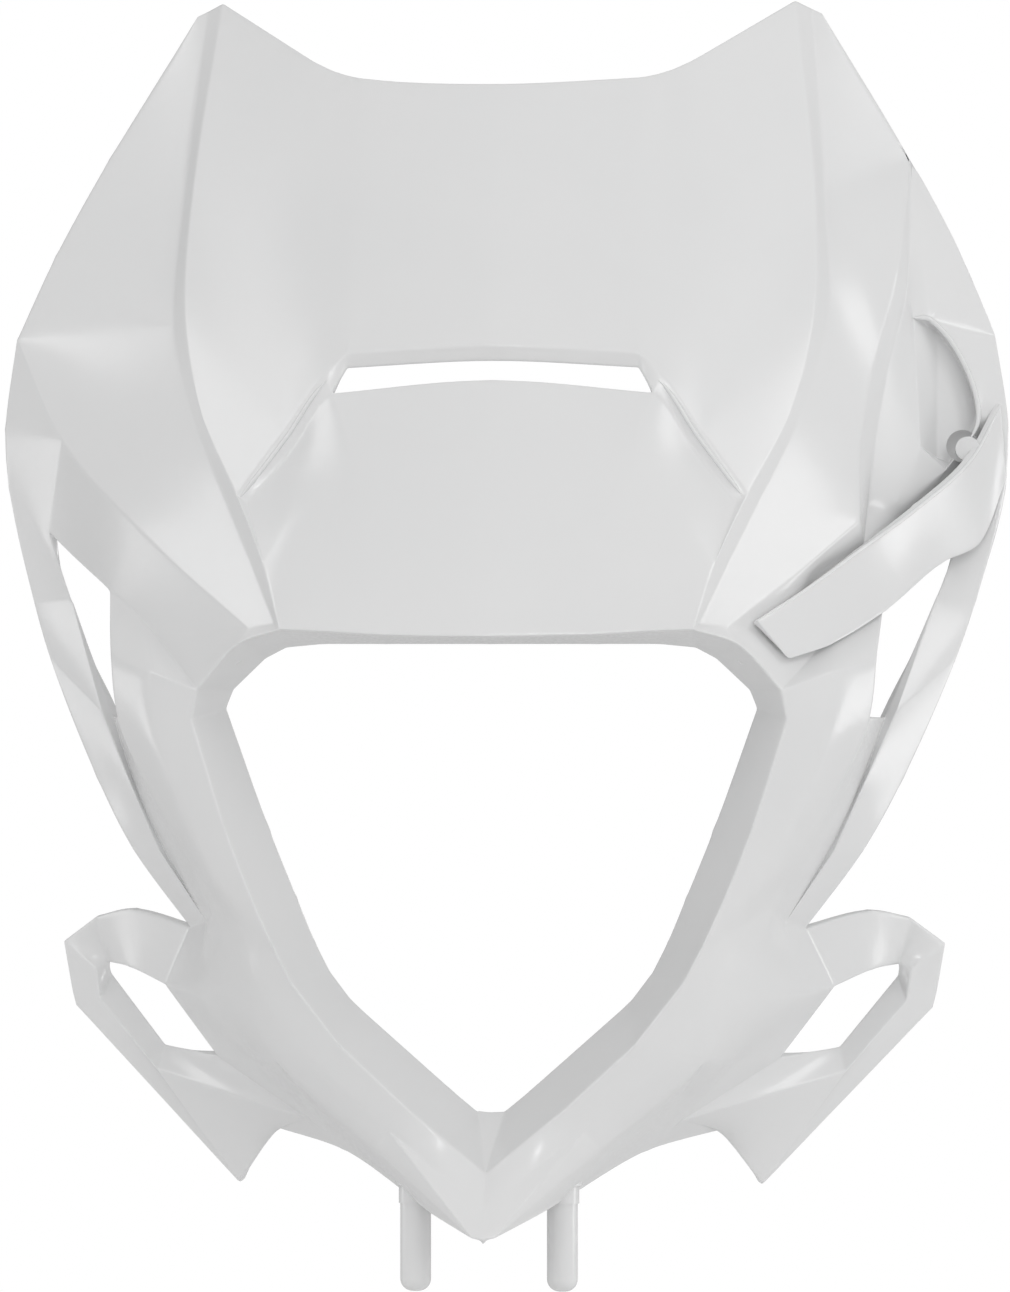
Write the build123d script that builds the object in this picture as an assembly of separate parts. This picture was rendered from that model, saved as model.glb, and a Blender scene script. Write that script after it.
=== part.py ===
"""Motorcycle headlight mask: the moulded shell and its clip-on hose guide.

Millimetres. X runs to the photo's right, the front faces -Y, Z is up. The origin lies
midway between the two lower pins, on their axes, in the plane where their grommets start.
"""
import os
from build123d import *

os.makedirs("parts", exist_ok=True)

# Overall sizes
mask_width = 282.0
mask_height = 343.0
mask_depth = 117.0
wall = 2.8

# Lower pins
pin_spacing = 40.0
pin_r = 4.2
pin_length = 19.5
pin_boss_r = 5.5
pin_boss_root = 1.5
pin_boss_height = 22.0
pin_collar_r = 4.6
pin_collar_height = 3.5
grommet_drop = 8.0

# Headlight screw bosses behind the opening: half spacing, height, and where each starts
upper_boss_x = 71.0
upper_boss_z = 147.0
upper_boss_root = -0.5
lower_boss_x = 36.0
lower_boss_z = 34.0
lower_boss_root = -6.2
boss_r = 4.5
boss_hole_r = 1.8
boss_hole_depth = 12.0
boss_face = 15.0

# Ribs behind the number plate: place across, width, reach and how far they sink in
rib_x = 30.0
rib_width = 2.0
rib_reach = 13.0
rib_tip = 5.0
rib_sink = 1.5

# Hose guide
guide_wall = 2.4
hose_hole_r = 3.2
hose_hole_in = 0.42

# Sizes the points below are written for
design_width = 282.0
design_height = 343.0
design_depth = 117.0

# Character points of the right half: across, back, up
half = {
    # number plate, from the top edge down to the brow
    "M0": (0, 50, 305), "N0": (38, 56, 307), "Nb0": (46, 60, 309), "H0": (53.5, 64, 312.5),
    "B0": (81.5, 87, 331),
    "M1": (0, 31, 267), "N1": (38, 37, 268), "Nb1": (46, 40, 268.5), "H1": (58.5, 45, 270),
    "B1": (87.5, 62, 276),
    "U0": (0, 11.5, 230.5), "U1": (40, 16, 228.5), "U2": (46.5, 15, 222.5),
    "K": (57.5, 12.5, 206.5), "G": (70, 10, 189.5),
    "B2": (87.5, 42, 238.5), "B3": (81, 26, 211.5),
    "E0": (0, 12.5, 228), "E1": (39.5, 16.5, 226),
    "Q0": (0, 10, 221), "Q1": (42, 14, 217.5), "R": (54.5, 13, 203), "GG": (67, 9.5, 187),
    "M4": (0, -7, 187.5), "N4": (33.5, -3.5, 187.5), "K4": (50.5, 0, 185),
    "B4": (61.5, -3, 170.5),
    "M5": (0, -18, 150.5), "N5": (28.5, -17, 151), "K5": (44.5, -15.5, 152),
    "B5": (56, -14, 152.5),
    # crease beside the plate
    "A0": (86, 90, 329), "A1": (90, 65.5, 275), "A2": (91, 45.5, 237.5),
    "A3": (84.5, 29.5, 213), "A4": (73, 12.5, 187.5), "Ab": (65, 0.5, 170.5),
    "A5": (57.5, -11, 154),
    # wing edge, facet edge and blade edge
    "S0": (89, 90, 327.5), "S1": (114, 84, 286), "S2": (128.3, 77.5, 258.5),
    "S3": (138, 69, 235), "S4": (141.6, 69.5, 209),
    "L1": (123.5, 53, 206), "L2": (100.5, 25, 182.5), "L3": (84, 9, 168), "L4": (65, -8, 153),
    "S5": (140.5, 69, 193), "T1": ("L1", 4.5, 7, -26), "T2": ("L2", 7, 7, -19),
    "T3": ("L3", 15, 13, -11), "T4": ("L4", 27, 22, -2.5),
    # pillar: outer edge, middle and front crease
    "P1": (105.5, 16, 145.5), "P2": (103.5, 15, 128.5), "P3": (94.5, 14, 108.5),
    "P4": (83.5, 12, 89), "P5": (77, 12, 76),
    "X1": (93, 3.5, 141), "X2": (93, 3, 128), "X3": (84, 1, 103.5), "X4": (75, 0, 84),
    "X5": (68.5, 0, 72),
    "F1": (68, -9, 148.5), "F2": (79.5, -4, 136), "F3": (81, -3, 128), "F4": (71.5, -6, 98),
    "Fb": (64, -8, 79), "Fc": (58.5, -9.5, 67), "F5": (53, -10, 56.5),
    # jaw and chin
    "F6": (40, -12, 40), "F7": (21.5, -13.5, 23), "F8": (0, -15, 5.5),
    "X6": (62, -3, 56), "X7": (50, -7, 37.5), "X8": (26.5, -12, 17), "X9": (0, -21.5, -3),
    "W1": (70, 7, 55.5), "W2": (58.5, 2, 35), "W3": (30.5, -8, 11.5),
    "V0": (0, -27, -11.5), "Va": (2.8, -26.5, -11.3), "V1": (15.5, -13, -5), "V2": (25, 6, 0), "V3": (42, 26, 9),
    "V4": (61.5, 40, 14),
    # rear edge of the headlight opening
    "O0": (0, 9, 148.5), "O1": (29, 9, 148.5), "Ob": (46, 9, 148.5), "O2": (56, 8, 147.5),
    "O3": (61.5, 7, 144.5), "O4": (70.5, 9, 136), "O5": (72.5, 9, 131), "O6": (60.5, 9, 97.5),
    "Oc": (53, 9, 79), "Od": (48, 9, 67), "O7": (44, 9, 59), "O8": (38, 9, 51),
    "O9": (9.8, 9, 26), "Oe": (3.8, 9, 21), "O10": (0, 9, 20.8),
    # outer strut and the channel between it and the pillar
    "I1": (121, 58, 161), "C2": (108, 44.5, 128.5), "C4": (100, 37.5, 106.5),
    "C5": (91, 33, 89), "C6": (80, 26, 72),
    "S7": (132.5, 62, 160.5), "S8": (127, 55, 144.5), "S9": (112.3, 43, 111),
    "Sa": (101.4, 36, 91.3), "Sb": (85.5, 35, 70),
    "y8": (110.4, 39, 129.9), "y9": (101.9, 31, 110.9), "ya": (93.6, 29, 92.1),
    # jaw edge in front of the ear, then the ear round its hole
    "D1": (81, 24, 51.5), "D2": (66, 24, 33), "D3": (51.5, 24, 17.5),
    "e1": (114.5, 60, 72), "e7": (104, 50, 74.5), "e2": (124, 62, 65), "e3": (121, 62, 47.5),
    "e5": (73, 50, -2),
    "h1": (111, 61, 59), "h7": (104, 52, 58), "h2": (93.3, 44, 53.5), "h3": (78.5, 41, 34),
    "h4": (94.5, 55.5, 36.5), "h5": (110.5, 64.5, 56),
    "r4": (96.2, 50, 29.7), "r5": (113, 58, 49), "r6": (114.5, 59, 58),
}

# The photo's right side has a hose pocket and a channel where the left has its blade.
# A point that names another one lies that far from it: across, back, up.
right_own = {
    "L1": (100.5, 39, 205), "f1": (112, 45.5, 187), "T1": ("f1", 16, 21.5, -9),
    "T2": ("L2", 7, 13, -19), "T3": ("L3", 15, 16, -11),
    "c1": ("A1", 20.5, -4.5, -23.5), "c2": ("A2", 13.5, 5, -10),
    "d1": ("c1", 2.5, 2, -4.5), "d2": ("c2", 3.5, 4, -1.5), "d3": ("f1", -7.5, 1.5, 19),
    "d4": ("L2", 2, 16, 4.5),
    "kA": ("S3", -23, -9, 5), "kB": ("kA", 5, 1.5, -0.5), "kC": ("S3", -4.5, -3.5, -22.5),
    "kD": ("f1", 12, 11, 10), "kE": ("f1", 5, 6.5, 16.5),
    "nB": ("kB", 1.5, 5, -3.5), "nC": ("kC", -1, 5.5, 0.5), "nD": ("kD", 1, 7.5, 2.5),
    "nE": ("kE", 4.5, 10.5, -3), "nX": ("nB", -6, -1, 2.5),
    "m": ("S5", -6, 2, 1.5), "g1": ("f1", 2, 6.5, -4.5), "g2": ("L2", 1, 5, -6.5),
    "g3": ("L3", 2, 4.5, -5.5),
}

# Hose guide: upper edge, lower edge and the return that closes the channel from below
guide = {
    "t0": ("L4", 8, 3, 2), "t1": ("L3", 0.5, -3, -5.5), "t2": ("L2", 0, -3, -8),
    "t3": ("f1", 5, -6.5, 0), "t4": ("kD", 7, -3, 3), "t5": ("kC", 6, 2, 3.5),
    "l0": ("T4", -10.5, -16, -6), "l1": ("T3", -6, -16, -8.5), "l2": ("T2", 0, -11, -6),
    "l3": ("T1", -5, -17, -7), "l4": ("T1", 6, -4, -1), "l5": ("S5", 0.5, -1, 2),
    "b1": ("l1", -1, 4, 1.5), "b2": ("l2", -1.5, 11, 5.5), "b3": ("l3", -1, 10, 4),
    "b4": ("l4", -2, 7, 5),
}

# Lines that run smoothly through their points (a dash names the mirrored point)
smooth_lines = """
N0- M0 N0 Nb0 H0 / N1- M1 N1 Nb1 H1 B1 / U1- U0 U1 / U1 U2 K G / E1- E0 E1
Q1- Q0 Q1 / Q0 Q1 R GG / N4- M4 N4 K4 B4 / N5- M5 N5 K5 / M0 M1 U0 / N0 N1 U1
Nb0 Nb1 U2 / H0 H1 K / Q0 M4 M5 / Q1 N4 N5 / R K4 K5 / B0 B1 B2 B3 G B4 B5
A0 A1 A2 A3 A4 Ab A5 / S0 S1 S2 S3 / S3 S4 S5 S7 S8 S9 Sa Sb / S3 L1 L2 L3 L4 / S5 T1 T2 T3 T4
T2 P1 P2 P3 P4 P5 W1 W2 W3 Va
X1 X2 X3 X4 X5 X6 X7 X8 X9 / B5 F1 F2 / F3 F4 Fb Fc F5 / F6 F7 / O5 O6 Oc Od O7
T1 I1 C2 C4 C5 C6 / T3 X1 P1 / P1 X1 F2 / P2 X2 F3 / P3 X3 F4
P4 X4 Fb / P5 X5 Fc / D1 W1 X6 F5 / D2 W2 X7 F6 / V2 W3 X8 F7 / Va V1 V2 V3 V4
y8 y9 ya / C6 D1 D2 D3 / e1 e7 Sb / h1 h7 h2
"""

# Patches, corner by corner, counter-clockwise seen from the front
patches = """
M0 M1 N1 N0 / N0 N1 Nb1 Nb0 / Nb0 Nb1 H1 H0 / H0 H1 B1 B0
M1 U0 U1 N1 / N1 U1 U2 Nb1 / Nb1 U2 K H1 / H1 K B2 B1 / K G B3 B2
U0 E0 E1 U1 / U1 E1 Q1 U2 / U2 Q1 R K / K R GG G / G GG B4
Q0 M4 N4 Q1 / Q1 N4 K4 R / R K4 B4 GG / M4 M5 N5 N4 / N4 N5 K5 K4 / K4 K5 B5 B4
B0 B1 A1 A0 / B1 B2 A2 A1 / B2 B3 A3 A2 / B3 G A4 A3 / G B4 Ab A4 / B4 B5 A5 Ab
A0 A1 S1 S0 / A3 A4 L2 L1 / A4 Ab L3 L2 / Ab A5 L4 L3 / A5 B5 F1 L4
L4 F1 F2 T4 / T3 T4 F2 X1 / T2 T3 X1 P1
P1 X1 X2 P2 / X1 F2 F3 X2 / P2 X2 X3 P3 / X2 F3 F4 X3 / P3 X3 X4 P4 / X3 F4 Fb X4
P4 X4 X5 P5 / X4 Fb Fc X5 / P5 X5 X6 W1 / X5 Fc F5 X6 / W1 X6 X7 W2 / X6 F5 F6 X7
W2 X7 X8 W3 / X7 F6 F7 X8 / W3 X8 Va / X8 X9 V0 Va / X8 F7 F8 X9
M5 O0 O1 N5 / N5 O1 Ob K5 / K5 Ob O2 B5 / B5 O2 O3 F1 / F1 O3 O4 F2 / F2 O4 O5 F3
F3 O5 O6 F4 / F4 O6 Oc Fb / Fb Oc Od Fc / Fc Od O7 F5 / F5 O7 O8 F6 / F6 O8 O9 F7
F7 O9 Oe F8 / Oe O10 F8
P2 P3 C4 C2 / P3 P4 C5 C4 / P4 P5 C6 C5
S5 T1 I1 S7 / S7 I1 y8 S8 / I1 C2 y8 / S8 y8 y9 S9 / y8 C2 C4 y9
S9 y9 ya Sa / y9 C4 C5 ya / Sa ya C6 Sb / ya C5 C6
P5 W1 D1 C6 / W1 W2 D2 D1 / W2 V3 D3 D2 / W2 W3 V2 V3 / W3 Va V1 V2
Sb C6 D1 h2 / h2 D1 D2 h3 / h3 D2 D3 / h4 h3 D3 r4 / r4 D3 V4 e5 / D3 V3 V4
e1 e7 h7 h1 / e7 Sb h2 h7 / e1 h1 r6 e2 / h1 h5 r5 r6 / e2 r6 r5 e3
h5 h4 r4 r5 / e3 r5 r4 e5
"""

left_blade = """
A1 A2 S2 S1 / A2 S3 S2 / A2 A3 L1 S3 / S3 L1 S4 / S4 L1 T1 S5 / L1 L2 T2 T1 / L2 L3 T3 T2 / L3 L4 T4 T3
"""

right_pocket = """
A1 A2 c2 c1 / A1 c1 S1 / A2 A3 L1 c2 / c1 c2 d2 d1 / c2 L1 d3 d2 / L1 L2 d4 d3
S1 c1 d1 / S1 d1 kA kB / S1 kB S2 / S2 kB S3 / S3 kB kC / S3 kC S4 / S4 kC m S5
d1 d2 kE kA / d2 d3 f1 kE / d3 d4 f1 / kE f1 kD / kC kD g1 m / kD f1 g1 / f1 d4 g2 g1
d4 L2 g2 / L2 L3 g3 g2 / L3 L4 T4 g3 / m g1 T1 S5 / g1 g2 T2 T1 / g2 g3 T3 T2 / g3 T4 T3
kA kE nE nB / kE kD nD nE / kD kC nC nD / kC kB nB nC / kB kA nB / nB nE nD nC
"""

# Lines that only this side has, before the common ones
right_smooth = """
S1 c1 c2 L1 L2 / L2 L3 L4 / S1 d1 d2 d3 d4 / kA kB kC kD / nX nB nC nD / m g1 g2 g3 T4
"""

guide_lines = "t0 t1 t2 t3 t4 t5 / l0 l1 l2 l3 l4 l5 / l0 b1 b2 b3 b4"
guide_patches = """
t0 l0 l1 t1 / t1 l1 l2 t2 / t2 l2 l3 t3 / t3 l3 l4 t4 / t4 l4 l5 t5
l0 b1 l1 / l1 b1 b2 l2 / l2 b2 b3 l3 / l3 b3 b4 l4
"""


def words(text):
    """The groups of point names in a list written with strokes and line ends."""
    return [group.split() for group in text.replace("\n", "/").split("/") if group.split()]


def sized(place):
    """A design point or step at the mask's own size."""
    x = place[0] * mask_width / design_width
    y = place[1] * mask_depth / design_depth
    z = place[2] * mask_height / design_height
    return Vector(x, y, z)


def placed(table, known):
    """The table's points, each by itself or counted from another point."""
    found = dict(known)
    for name, place in table.items():
        if isinstance(place[0], str):
            found[name] = found[place[0]] + sized(place[1:])
        else:
            found[name] = sized(place)
    return found


def full_points(both, right_only):
    """Both halves; points on the middle plane stay single."""
    whole = placed(both, {})
    for name in both:
        if whole[name].X > 0:
            whole[name + "-"] = Vector(-whole[name].X, whole[name].Y, whole[name].Z)
    return placed(right_only, whole)


def mirrored(names, points):
    """The same names on the other half, in the order that keeps them counter-clockwise."""
    other = [n[:-1] if n.endswith("-") else (n + "-" if n + "-" in points else n) for n in names]
    return other[::-1]


def line_curves(lines, points):
    """Cubic control points of every stretch between two neighbours of a smooth line."""
    curves = {}
    for names in lines:
        p = [points[n] for n in names]
        last = len(p) - 1
        for i in range(last):
            chord = p[i + 1] - p[i]
            size = chord.length
            start, end = chord, chord
            if i > 0:
                back = p[i] - p[i - 1]
                start = (back * (size / back.length) + chord) * 0.5
            if i < last - 1:
                ahead = p[i + 2] - p[i + 1]
                end = (ahead * (size / ahead.length) + chord) * 0.5
            curve = [p[i], p[i] + start / 3, p[i + 1] - end / 3, p[i + 1]]
            curves.setdefault((names[i], names[i + 1]), curve)
            curves.setdefault((names[i + 1], names[i]), curve[::-1])
    return curves


def edge_curve(a, b, curves, points):
    """Control points from a to b: the smooth line's own, else a straight stretch."""
    if (a, b) in curves:
        return curves[(a, b)]
    p, q = points[a], points[b]
    return [p, p + (q - p) / 3, p + (q - p) * 2 / 3, q]


def patch_net(names, curves, points):
    """The 4 x 4 control points of the patch that fills its four edges."""
    a, b, c = names[0], names[1], names[2]
    d = names[3] if len(names) == 4 else c
    left = edge_curve(a, b, curves, points)
    right = edge_curve(d, c, curves, points)
    top = edge_curve(a, d, curves, points)
    foot = edge_curve(b, c, curves, points)
    net = []
    for i in range(4):
        u = i / 3
        row = []
        for j in range(4):
            v = j / 3
            across = left[i] * (1 - v) + right[i] * v
            down = top[j] * (1 - u) + foot[j] * u
            corners = (top[0] * (1 - v) + top[3] * v) * (1 - u)
            corners = corners + (foot[0] * (1 - v) + foot[3] * v) * u
            row.append(across + down - corners)
        net.append(row)
    return net


def corner_normals(faces, curves, points):
    """For each point the outward directions of the patches that meet there."""
    found = {}
    for names in faces:
        count = len(names)
        for i, name in enumerate(names):
            ahead = edge_curve(name, names[(i + 1) % count], curves, points)
            back = edge_curve(name, names[i - 1], curves, points)
            normal = (ahead[1] - ahead[0]).cross(back[1] - back[0])
            found.setdefault(name, []).append(normal.normalized())
    return found


def inner_points(normals, points, depth):
    """Each point moved in so that it lies one wall behind every patch it belongs to."""
    moved = {}
    for name, around in normals.items():
        step = Vector(0, 0, 0)
        for normal in around:
            step = step - normal * (depth / len(around))
        for _ in range(60):
            for normal in around:
                step = step - normal * ((depth + step.dot(normal)) * 0.3)
        if step.length > 1.7 * depth:
            step = step * (1.7 * depth / step.length)
        moved[name] = points[name] + step
    return moved


def moulding(faces, lines, points, depth):
    """A closed wall of even depth behind a network of patches."""
    outer = line_curves(lines, points)
    behind = inner_points(corner_normals(faces, outer, points), points, depth)
    for name in points:
        behind.setdefault(name, points[name])
    inner = line_curves(lines, behind)
    skins = []
    used = {}
    for names in faces:
        skins.append(Face.make_bezier_surface(patch_net(names, outer, points)))
        skins.append(Face.make_bezier_surface(patch_net(names, inner, behind)))
        for i, name in enumerate(names):
            pair = (name, names[(i + 1) % len(names)])
            used[pair] = used.get(pair, 0) + 1
    for a, b in used:
        if (b, a) in used:
            continue
        front = edge_curve(a, b, outer, points)
        rear = edge_curve(a, b, inner, behind)
        skins.append(Face.make_bezier_surface([front, rear]))
    return Solid(Shell(skins))


points = full_points(half, right_own)
left_lines = [mirrored(names, points)[::-1] for names in words(smooth_lines)]
right_lines = words(right_smooth) + words(smooth_lines)
right_faces = words(patches) + words(right_pocket)
left_faces = [mirrored(names, points) for names in words(patches) + words(left_blade)]

shell = moulding(right_faces + left_faces, left_lines + right_lines, points, wall)

# Where the shell's own places lie once it is scaled
across = mask_width / design_width
back = mask_depth / design_depth
up = mask_height / design_height


def rod(x, y, z, radius, length, turn):
    """A round rod from the point, along Z (turn 0) or along +Y (turn -90)."""
    bar = Cylinder(radius, length, align=(Align.CENTER, Align.CENTER, Align.MIN))
    return Pos(x, y, z) * Rot(turn, 0, 0) * bar


def at_rib(middle, side):
    """The point on the line between the two that lies at the rib's place across."""
    return middle + (side - middle) * (rib_x * across / side.X)


# Lower pins with rounded ends, each on a boss that stands behind the chin
for side in (-1, 1):
    x = side * pin_spacing / 2
    whole = grommet_drop + pin_length
    pin = rod(x, 0, -whole, pin_r, whole + pin_boss_height / 2, 0)
    pin = fillet(pin.edges().sort_by(Axis.Z)[0], pin_r * 0.8)
    collar = rod(x, 0, -pin_collar_height, pin_collar_r, pin_boss_height / 2, 0)
    boss = rod(x, 0, pin_boss_root, pin_boss_r, pin_boss_height - pin_boss_root, 0)
    shell = shell + boss + collar + pin

# Screw bosses for the headlight, fused into the back of the pillars and the jaw
for side in (-1, 1):
    for x, y, z in (
        (upper_boss_x * across, upper_boss_root * back, upper_boss_z * up),
        (lower_boss_x * across, lower_boss_root * back, lower_boss_z * up),
    ):
        boss = rod(side * x, y, z, boss_r, boss_face - y, -90)
        hole = rod(side * x, boss_face - boss_hole_depth, z, boss_hole_r, boss_hole_depth, -90)
        shell = shell + boss - hole

# Two upright ribs between the plate's back and the ledge over the headlight
foot = at_rib(points["M5"], points["N5"])
brow = at_rib(points["M4"], points["N4"])
head = brow + (at_rib(points["Q0"], points["Q1"]) - brow) * 0.85
ledge = at_rib(points["O0"], points["O1"])
rib_path = [
    (foot.Y + rib_sink, foot.Z),
    (brow.Y + rib_sink, brow.Z),
    (head.Y + rib_sink, head.Z),
    (head.Y + rib_sink + rib_tip, head.Z),
    (brow.Y + rib_reach, brow.Z),
    (ledge.Y - rib_sink, ledge.Z + rib_sink),
]
rib_face = make_face(Polyline(rib_path, close=True))
for side in (-1, 1):
    place = Plane(origin=(side * rib_x * across, 0, 0), x_dir=(0, 1, 0), z_dir=(1, 0, 0))
    shell = shell + extrude(place * rib_face, rib_width / 2, both=True)

# The brake hose comes through the pocket's floor
hole = points["nE"] + (points["nC"] - points["nE"]) * hose_hole_in
hole_start = hole.Y - 3 * wall
shell = shell - rod(hole.X, hole_start, hole.Z, hose_hole_r, 6 * wall, -90)

guide_points = placed(guide, points)
strap = moulding(words(guide_patches), words(guide_lines), guide_points, guide_wall)
strap = strap - shell

# The points are counted from the chin: lift all so that the grommet plane is at zero
shell = Pos(0, 0, grommet_drop) * shell
strap = Pos(0, 0, grommet_drop) * strap

export_step(shell, "parts/mask_shell.step")
export_step(strap, "parts/hose_guide.step")
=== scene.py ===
"""Dressed scene of the motorcycle headlight mask.

Metres in Blender; the character points are in the part's own millimetres, counted from
the chin, and are lifted by GROMMET_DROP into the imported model's frame.
"""
import math

import bpy
import numpy as np
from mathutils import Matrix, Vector
from mathutils.kdtree import KDTree


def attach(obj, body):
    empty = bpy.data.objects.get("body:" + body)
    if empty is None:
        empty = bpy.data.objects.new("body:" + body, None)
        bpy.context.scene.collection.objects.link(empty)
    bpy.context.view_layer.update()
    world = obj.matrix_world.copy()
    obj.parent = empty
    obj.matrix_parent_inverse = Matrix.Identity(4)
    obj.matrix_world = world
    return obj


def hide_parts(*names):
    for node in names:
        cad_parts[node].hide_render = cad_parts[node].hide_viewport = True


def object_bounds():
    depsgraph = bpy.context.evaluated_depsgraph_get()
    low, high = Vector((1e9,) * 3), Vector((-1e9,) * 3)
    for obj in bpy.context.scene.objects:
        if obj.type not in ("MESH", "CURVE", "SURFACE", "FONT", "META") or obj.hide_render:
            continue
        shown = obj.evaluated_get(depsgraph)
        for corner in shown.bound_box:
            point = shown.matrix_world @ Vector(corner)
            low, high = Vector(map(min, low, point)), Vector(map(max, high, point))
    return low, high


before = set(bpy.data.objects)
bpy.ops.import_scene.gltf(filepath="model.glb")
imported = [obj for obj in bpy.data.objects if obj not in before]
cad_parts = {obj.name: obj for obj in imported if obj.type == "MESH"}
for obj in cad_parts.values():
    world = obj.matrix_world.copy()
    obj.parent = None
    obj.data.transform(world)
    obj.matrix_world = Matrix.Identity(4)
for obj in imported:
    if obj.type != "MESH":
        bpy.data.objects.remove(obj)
cad_low, cad_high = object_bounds()

MM = 0.001
GROMMET_DROP = 8.0

# Photograph
PHOTO_WIDTH = 1010
PHOTO_HEIGHT = 1292
CAMERA_TURN = math.radians(3.5)
CAMERA_DISTANCE = 2.0
CAMERA_SIDE = 4.354 * MM
CAMERA_HEIGHT = (148.03 + GROMMET_DROP) * MM
PIXELS_PER_MM = 3.675
SENSOR_WIDTH = 36.0

scene = bpy.context.scene


def add_camera():
    """The photograph's view: level, a little from the left, far back."""
    data = bpy.data.cameras.new("photo_camera")
    data.sensor_width = SENSOR_WIDTH
    pixels_long = PIXELS_PER_MM * CAMERA_DISTANCE / MM
    data.lens = data.sensor_width * pixels_long / max(PHOTO_WIDTH, PHOTO_HEIGHT)
    camera = bpy.data.objects.new("photo_camera", data)
    right = Vector((math.cos(CAMERA_TURN), math.sin(CAMERA_TURN), 0))
    ahead = Vector((-math.sin(CAMERA_TURN), math.cos(CAMERA_TURN), 0))
    place = right * CAMERA_SIDE - ahead * CAMERA_DISTANCE
    camera.location = (place.x, place.y, CAMERA_HEIGHT)
    camera.rotation_euler = (math.radians(90), 0, CAMERA_TURN)
    scene.collection.objects.link(camera)
    scene.camera = camera


add_camera()

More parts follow.
